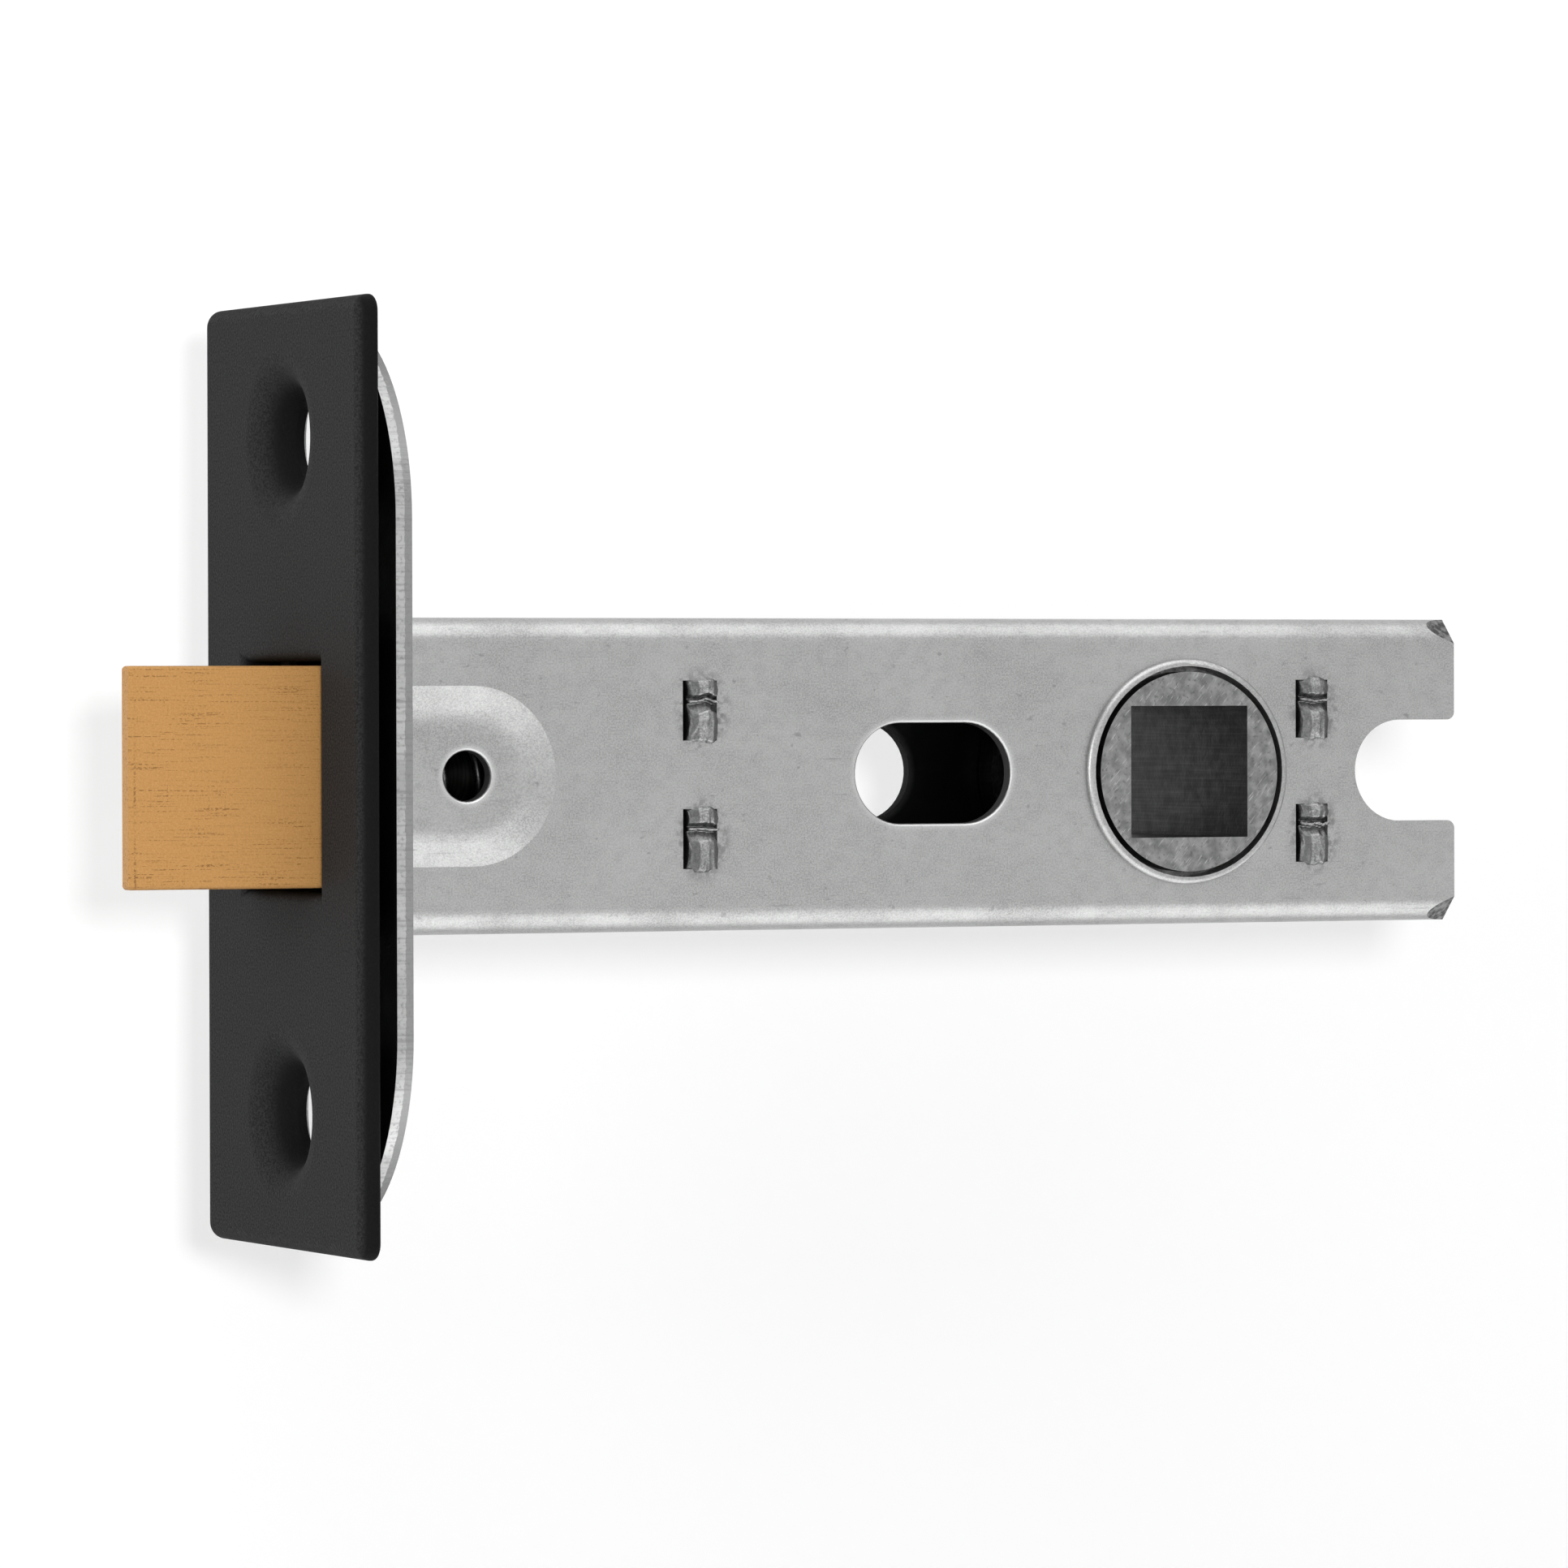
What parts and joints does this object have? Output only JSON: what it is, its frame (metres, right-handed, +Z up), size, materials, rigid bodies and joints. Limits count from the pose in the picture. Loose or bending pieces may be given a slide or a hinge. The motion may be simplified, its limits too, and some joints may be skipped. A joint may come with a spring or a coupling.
{
  "type": "tubular door latch",
  "caption": "Tubular mortice door latch with a sprung bevelled bolt, a black faceplate and a slim folded case with a square follower for the handle spindle.",
  "frame": {"origin": "centre of the faceplate's front face, on the bolt's axis", "axes": "+X along the latch into the door, +Z up the door's edge, +Y towards the bolt's bevelled side"},
  "size_m": [0.0878, 0.025, 0.0564],
  "materials": {
    "black_powder_coat": "matte powder coat",
    "zinc_plated_steel": "satin zinc plate",
    "brushed_brass": "matte drawn brass",
    "cast_zinc": "as cast",
    "plain_steel": "oiled",
    "spring_wire": "drawn wire"
  },
  "bodies": {
    "case": {"faceplate": "black_powder_coat", "inner_forend": "zinc_plated_steel", "case_near_half": "zinc_plated_steel", "case_far_half": "zinc_plated_steel", "front_bridge": "zinc_plated_steel", "rear_bridge": "zinc_plated_steel", "spring_guide_pin": "plain_steel", "bolt_spring": "spring_wire"},
    "bolt": {"latch_bolt": "brushed_brass", "bolt_stirrup": "plain_steel", "upper_stirrup_rivet": "plain_steel", "lower_stirrup_rivet": "plain_steel"},
    "follower": {"follower": "cast_zinc"}
  },
  "joints": [
    {"name": "follower_turn", "type": "hinge", "parent": "case", "child": "follower", "pos_m": [0.057, 0, 0], "axis": [0, 1, 0], "range_deg": [0, 80]},
    {"name": "bolt_slide", "type": "slide", "parent": "case", "child": "bolt", "axis": [1, 0, 0], "range_m": [0, 0.0106], "stiffness_N_per_m": 340, "springref_m": -0.008, "deforming": ["bolt_spring"]}
  ],
  "couplings": [
    {"joint": "follower_turn", "follows": "bolt_slide", "rad_per_m": 131.7}
  ]
}
